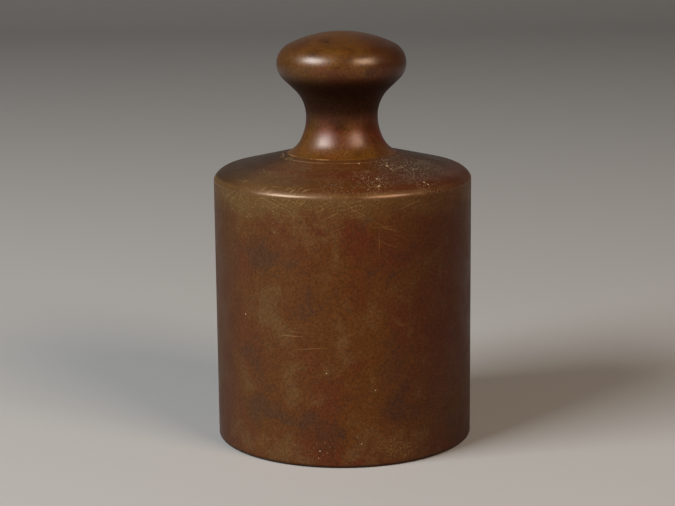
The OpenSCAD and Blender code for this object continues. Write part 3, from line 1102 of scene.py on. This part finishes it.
# from the thread's relief over the base, the flare, the waist and the head to the crown
def knobUpper():
    sizes = knobSet
    baseTop = seatZ + sizes["baseEdgeH"]
    # a slack hollow below the waist runs on into a tighter one that ends on the base's edge
    slackTurn = math.radians(sizes["flareTurn"])
    slackCentre = (waistR + sizes["flareR"], waistZ)
    joinR = slackCentre[0] - sizes["flareR"] * math.cos(slackTurn)
    joinZ = waistZ - sizes["flareR"] * math.sin(slackTurn)
    baseTurn = 2 * math.atan2(baseR - joinR, joinZ - baseTop) - slackTurn
    tightR = (joinZ - baseTop) / (math.sin(baseTurn) - math.sin(slackTurn))
    tightCentre = (joinR + tightR * math.cos(slackTurn), joinZ + tightR * math.sin(slackTurn))
    # the hollow under the head and the head's edge meet on the line that touches both
    underCentre = (waistR + sizes["underR"], waistZ)
    across = edgeCentre[0] - underCentre[0]
    upward = edgeCentre[1] - underCentre[1]
    touch = math.atan2(upward, across)
    touch += math.acos(min(1, (sizes["underR"] + sizes["edgeR"]) / math.hypot(across, upward)))
    crownTurn = math.atan2(edgeCentre[1] - crownCentre[1], edgeCentre[0])
    line = rounded([
        (rootR, seatZ - screwSet["reliefL"]),
        (rootR, seatZ),
        (baseR, seatZ),
        (baseR, baseTop),
        (baseR - sizes["lipBevel"][0], baseTop + sizes["lipBevel"][1]),
    ], sizes["lipRound"], 2)[:-1]
    line += arc(tightCentre, tightR, math.pi + baseTurn, math.pi + slackTurn, 16)
    line += arc(slackCentre, sizes["flareR"], math.pi + slackTurn, math.pi, 16)[1:]
    line += arc(underCentre, sizes["underR"], math.pi, touch, 22)[1:]
    line += arc(edgeCentre, sizes["edgeR"], touch - math.pi, crownTurn, 34)
    line += arc(crownCentre, crownR, crownTurn, math.pi / 2, 16)[1:]
    return spaced(line, sizes["longRun"])


# the crown behind a pixel
def onCrown(px, py):
    origin, way = pixelRay(px, py)
    away = origin - Vector((0, 0, crownCentre[1] * mm))
    half = away.dot(way)
    rest = away.dot(away) - (crownR * mm) ** 2
    return origin + way * (-half - math.sqrt(max(0, half * half - rest)))


def onCrownFlat(px, py):
    return onCrown(px, py).to_2d()


def knobBrassMaterial():
    finish = knobSet
    material, graph, shader, point = newMaterial("knobBrass")
    x, y, z, angle, radius = roundAxis(graph, point)
    flat = graph.combine(x, y)
    wall = graph.combine(angle * (finish["unrollR"] * mm), z)
    middle = graph.noise(graph.vector("ADD", point, (0.2, 0.5, 0.1)), *finish["cloudNoise"])
    grain = graph.noise(point, *finish["grainNoise"])
    golden = (graph.noise(point, *finish["goldenNoise"]) - 0.5) * finish["goldenSpread"]
    golden = golden + stepTone(graph, {"x": x, "z": z}, finish["goldenSteps"]) + finish["goldenShare"]
    color = graph.mix(graph.ramp(golden, 0.1, 0.9), finish["reddish"], finish["golden"])
    color = graph.mix(graph.ramp(middle, 0.48, 0.72, 0, 0.55), color, finish["dark"])
    # painted shade: the head's sides are darker, the right one most
    head = graph.level(z, *finish["headHeights"]) * graph.level(radius, *finish["headRadii"])
    side = facing(graph, x, y, radius, 90)
    side = graph.highest([graph.ramp(side, 0.25, 0.9, 0, 0.75), graph.ramp(side, -0.5, -0.95, 0, 0.4)])
    color = graph.mix(head * side, color, finish["dark"])
    # painted shade: the crown darkens towards its top
    color = graph.mix(graph.level(z, *finish["crownShade"]), color, finish["dark"])
    # painted shade: the hollow under the head, where the head shades it, is darkened, and made more metallic
    # and rougher
    edge = middle * (finish["hollowUneven"] * mm) + z
    hollow = graph.level(edge, *finish["hollowUpper"]) * graph.level(edge, *finish["hollowLower"])
    color = graph.mix(hollow * 0.9, color, finish["underHeadShade"])
    color = graph.brighten(color, graph.ramp(grain, *finish["grainLight"]))

    # fine scratches, and a painted highlight along the base's edge, partly worn bright brass, broken here
    # and there
    onTopSide = graph.math("GREATER_THAN", z, edgeCentre[1] * mm)
    lip = graph.level(radius, *finish["lipRadii"]) * graph.level(z, *finish["lipHeights"])
    hair = graph.highest([
        hairLayers(graph, wall, finish["sideHairs"]),
        hairLayers(graph, flat, finish["flatHairs"]),
        graph.highest(strokes(graph, flat, finish["crownScratches"], onCrownFlat)) * onTopSide,
        lip * highlightLine(graph, angle, middle, finish),
    ])
    color = graph.mix(hair * 0.8, color, finish["scratch"])
    # one dark pit near the front of the crown, in a small smear
    pitGap = spotGap(graph, point, onCrown(*finish["pitSpot"]))
    pit = graph.level(pitGap, *finish["pitReach"])
    smear = graph.level(pitGap, *finish["smearReach"]) * graph.ramp(middle, 0.4, 0.6, 0.2, 0.6)
    color = graph.mix(smear, color, finish["dark"])
    color = graph.mix(pit * 0.8, color, finish["pit"])
    # bare metal shows more from the neck up to below the head's widest ring
    neck = graph.level(z, *finish["neckLower"]) * graph.level(z, *finish["neckUpper"])
    rough = graph.ramp(middle, 0.3, 0.7, finish["roughHigh"], finish["roughLow"])
    drawnOut = graph.vector("SCALE", flat, scale=finish["drawnOut"])
    drawnOut = graph.vector("ADD", drawnOut, graph.combine(radius, 0.0, z))
    toolMarks = graph.noise(drawnOut, *finish["toolMarks"])
    height = grain * (finish["grainDeep"] * mm) + toolMarks * (finish["toolMarkDeep"] * mm)
    graph.fill(shader, {
        "Base Color": color,
        "Metallic": neck * 0.4 + hollow * 0.45 + finish["metallic"],
        "Roughness": graph.math("MULTIPLY_ADD", hollow, 0.35, rough, clamp=True),
        "Specular IOR Level": finish["specular"],
        "Normal": graph.bump(height - pit * (finish["pitDeep"] * mm)),
    })
    return material


knobBrass = knobBrassMaterial()


def buildKnob():
    segments = knobSet["segments"]
    section = threadSection(shankR, rootR, screwSet["maleCrest"])
    radii = (shankR, rootR, rootR)
    reliefZ = seatZ - screwSet["reliefL"]
    return welded("turnedKnob", [
        turned("knobLower", knobLower(), segments, knobBrass),
        turned("knobUpper", knobUpper(), segments, knobBrass),
        thread("shankThread", section, shankEnd, reliefZ, radii, 1.0, segments, knobBrass),
    ], knobBrass, knobSet["sharpAngle"])


declare(buildKnob(), "screw_knob", "knob")
print("knob ready")


washerSet = {
    "outerD": 18.8,
    "thick": 0.8,
    "gap": 0.1,
    "edgeRound": 0.18,
    "longRun": 0.5,
    "sharpAngle": 60,
    "segments": 96,
    "light": linear(96, 66, 42),
    "dark": linear(58, 36, 22),
    "roughLow": 0.55,
    "roughHigh": 0.8,
    "poreScale": 2600.0,
    "poreDeep": 0.02,
    "cloudNoise": (300, 4, 0.6),
    "cloudDeep": 0.03,
}


def leatherMaterial():
    finish = washerSet
    material, graph, shader, point = newMaterial("oiledLeather")
    pores = {"Vector": point, "Scale": finish["poreScale"]}
    pores = graph.value("ShaderNodeTexVoronoi", pores, feature="DISTANCE_TO_EDGE")
    cloud = graph.noise(point, *finish["cloudNoise"])
    color = graph.mix(graph.ramp(cloud, 0.35, 0.65), finish["light"], finish["dark"])
    height = graph.ramp(pores, 0.0, 0.2, 0, finish["poreDeep"] * mm) + cloud * (finish["cloudDeep"] * mm)
    graph.fill(shader, {
        "Base Color": graph.mix(graph.ramp(pores, 0.12, 0.0, 0, 0.6), color, finish["dark"]),
        "Roughness": graph.ramp(cloud, 0.3, 0.7, finish["roughHigh"], finish["roughLow"]),
        "Normal": graph.bump(height),
    })
    return material


def buildWasher():
    inner = socketR + washerSet["gap"]
    outer = washerSet["outerD"] / 2
    low = recessZ
    high = recessZ + washerSet["thick"]
    middle = (low + high) / 2
    line = [(inner, middle), (inner, low), (outer, low), (outer, high), (inner, high), (inner, middle)]
    return turnedPiece("leatherWasher", line, 4, washerSet, leatherMaterial())


declare(buildWasher(), "washer", "seal_washer")
print("washer ready")


shotSet = {
    "pelletD": 2.3,
    "gap": 0.05,
    "layers": 6,
    "layerTwist": 17.0,
    "seed": 4,
    "light": linear(150, 152, 156),
    "dark": linear(86, 88, 94),
    "roughLow": 0.38,
    "roughHigh": 0.7,
    "metallic": 0.7,
    "cloudNoise": (700, 4, 0.65),
    "fineNoise": (4000, 3, 0.6),
    "fineDeep": 0.03,
}
pelletStep = shotSet["pelletD"] + shotSet["gap"]
shotTop = bodySet["boreFloor"] + shotSet["layers"] * pelletStep

wadSet = {
    "thick": 4.0,
    "gap": 0.1,
    "edgeRound": 0.7,
    "longRun": 0.5,
    "lumpScale": 900,
    "dent": 0.22,
    "shrink": 0.03,
    "sharpAngle": 60,
    "segments": 72,
    "light": linear(196, 184, 158),
    "dark": linear(150, 136, 110),
    "rough": 0.95,
    "sheen": 0.3,
    "fibreNoise": (3800, 4, 0.75, 2.5),
    "fibreDeep": 0.12,
    "cloudNoise": (420, 3, 0.6),
}


def feltMaterial():
    finish = wadSet
    material, graph, shader, point = newMaterial("pressedFelt")
    fibres = graph.noise(graph.vector("MULTIPLY", point, (1, 1, 3)), *finish["fibreNoise"])
    cloud = graph.noise(point, *finish["cloudNoise"])
    color = graph.mix(graph.ramp(fibres, 0.35, 0.65), finish["dark"], finish["light"])
    graph.fill(shader, {
        "Base Color": graph.mix(graph.ramp(cloud, 0.5, 0.8, 0, 0.3), color, finish["dark"]),
        "Roughness": finish["rough"],
        "Sheen Weight": finish["sheen"],
        "Normal": graph.bump(fibres * (finish["fibreDeep"] * mm)),
    })
    return material


def buildWad():
    radius = bodySet["boreR"] - wadSet["gap"]
    high = shotTop + wadSet["thick"]
    line = [(0, shotTop), (radius, shotTop), (radius, high), (0, high)]
    wad = turnedPiece("feltWad", line, 5, wadSet, feltMaterial())
    # the pressed wool is a little uneven, and never wider or higher than the bore allows
    upper = (shotTop + 0.6 * wadSet["thick"]) * mm
    for vertex in wad.data.vertices:
        lump = noise.noise(vertex.co * wadSet["lumpScale"]) * 0.5 + 0.5
        vertex.co += Vector((-vertex.co.x, -vertex.co.y, 0)) * wadSet["shrink"] * lump
        if vertex.co.z > upper:
            vertex.co.z -= wadSet["dent"] * mm * lump
    return wad


declare(buildWad(), "weight", "shot_wad")
print("wad ready")


def leadMaterial():
    finish = shotSet
    material, graph, shader, point = newMaterial("dullShot")
    cloud = graph.noise(point, *finish["cloudNoise"])
    fine = graph.noise(point, *finish["fineNoise"])
    graph.fill(shader, {
        "Base Color": graph.mix(graph.ramp(cloud, 0.35, 0.65), finish["dark"], finish["light"]),
        "Metallic": finish["metallic"],
        "Roughness": graph.ramp(fine, 0.35, 0.65, finish["roughHigh"], finish["roughLow"]),
        "Normal": graph.bump(fine * (finish["fineDeep"] * mm)),
    })
    return material


# lays pellets in layers: one in the middle, six round it and twelve round those
def shotTree():
    graph, inputs, end = newGeometryTree("shotLayers", [
        ("Layers", "Int", 6),
        ("Pellet diameter", "Float", 0.0023),
        ("Step", "Float", 0.00235),
        ("Floor height", "Float", 0.02),
        ("Layer twist", "Float", 0.3),
        ("Seed", "Int", 4),
    ])
    inner = 6
    outer = 12
    inLayer = 1 + inner + outer
    index = graph.value("GeometryNodeInputIndex")
    layer = graph.math("FLOOR", index / inLayer)
    place = index - layer * inLayer
    isOuter = graph.math("GREATER_THAN", place, inner + 0.5)
    isInner = graph.math("GREATER_THAN", place, 0.5) - isOuter
    innerTurn = isInner * ((place - 1) / inner)
    outerTurn = isOuter * ((place - 1 - inner) / outer)
    angle = (innerTurn + outerTurn) * (2 * math.pi) + layer * inputs["Layer twist"]
    height = (layer + 0.5) * inputs["Step"] + inputs["Floor height"]
    spot = onCircle(graph, (isOuter * 2 + isInner) * inputs["Step"], angle, height)
    points = graph.value("GeometryNodePoints", {"Count": inputs["Layers"] * inLayer, "Position": spot})
    ball = {"Radius": inputs["Pellet diameter"] / 2, "Subdivisions": 2}
    laid = {"Points": points, "Instance": graph.value("GeometryNodeMeshIcoSphere", ball)}
    spans = {"Rotation": ((0, 0, 0), (6.28, 6.28, 6.28)), "Scale": ((0.88, 0.9, 0.94), (1, 1, 1))}
    for label, (low, high) in spans.items():
        drawn = {"Seed": inputs["Seed"], 0: low, 1: high}
        laid[label] = graph.value("FunctionNodeRandomValue", drawn, data_type="FLOAT_VECTOR")
    return finishTree(graph, inputs, end, graph.value("GeometryNodeInstanceOnPoints", laid))


def buildShot():
    mesh = evaluated("shotPellets", bpy.data.meshes.new("shotSource"), shotTree(), {
        "Layers": shotSet["layers"],
        "Pellet diameter": shotSet["pelletD"] * mm,
        "Step": pelletStep * mm,
        "Floor height": bodySet["boreFloor"] * mm,
        "Layer twist": math.radians(shotSet["layerTwist"]),
        "Seed": shotSet["seed"],
        "Material": leadMaterial(),
    })
    for polygon in mesh.polygons:
        polygon.use_smooth = True
    print("shotPellets", len(mesh.polygons), "faces")
    return addObject("shotPellets", mesh)


declare(buildShot(), "weight", "adjusting_shot")
print("shot ready")


stageSet = {
    # lengths in metres
    "floor": linear(176, 175, 173),
    "floorRough": 0.85,
    "floorNoise": (900, 3, 0.6),
    "floorDeep": 0.00003,
    "halfWide": 2.5,
    "front": -1.6,
    "bendStart": 0.9,      # where the floor begins to curve up into the backdrop
    "bendR": 0.5,
    "bendSteps": 12,
    "backdropH": 2.0,
    "worldColor": (0.80, 0.81, 0.83, 1.0),
    "worldStrength": 0.05,
    # azimuth from the camera's side in degrees towards +X, elevation, distance, width, height, watts, colour
    "lamps": {
        "leftLamp": (-57, 35, 0.9, 0.50, 0.34, 9.4, (0.97, 0.99, 1.0)),
        "rightLamp": (45, 33, 0.9, 0.42, 0.34, 5.0, (1.0, 0.78, 0.6)),
    },
    "lampAim": (0, 0, 0.045),
}


def buildFloor():
    bendStart = stageSet["bendStart"]
    radius = stageSet["bendR"]
    wide = stageSet["halfWide"]
    profile = [(stageSet["front"], 0.0), (-0.8, 0.0), (0.0, 0.0), (bendStart, 0.0)]
    profile += arc((bendStart, radius), radius, -math.pi / 2, 0, stageSet["bendSteps"])[1:]
    profile.append((bendStart + radius, stageSet["backdropH"]))
    verts = []
    for y, z in profile:
        verts += [(-wide, y, z), (wide, y, z)]
    faces = [(2 * i, 2 * i + 1, 2 * i + 3, 2 * i + 2) for i in range(len(profile) - 1)]
    mesh = bpy.data.meshes.new("studioFloor")
    mesh.from_pydata(verts, [], faces)
    for polygon in mesh.polygons:
        polygon.use_smooth = True
    material, graph, shader, point = newMaterial("paleFloor")
    graph.fill(shader, {
        "Base Color": stageSet["floor"],
        "Roughness": stageSet["floorRough"],
        "Normal": graph.bump(graph.noise(point, *stageSet["floorNoise"]) * stageSet["floorDeep"]),
    })
    mesh.materials.append(material)
    addObject("studioFloor", mesh)


def buildLamps():
    aim = Vector(stageSet["lampAim"])
    for name, (azimuth, elevation, distance, width, height, power, color) in stageSet["lamps"].items():
        way = wayTo(math.pi - math.radians(azimuth), math.radians(elevation))
        data = bpy.data.lights.new(name, "AREA")
        data.shape = "RECTANGLE"
        data.size = width
        data.size_y = height
        data.energy = power
        data.color = color
        lamp = addObject(name, data)
        lamp.location = aim + way * distance
        lamp.rotation_euler = (-way).to_track_quat("-Z", "Y").to_euler()


def buildWorld():
    world = bpy.data.worlds.new("studioWorld")
    world.use_nodes = True
    background = world.node_tree.nodes["Background"]
    background.inputs["Color"].default_value = stageSet["worldColor"]
    background.inputs["Strength"].default_value = stageSet["worldStrength"]
    bpy.context.scene.world = world


buildFloor()
buildLamps()
buildWorld()
bpy.context.scene.view_settings.view_transform = "Standard"
print("stage ready")
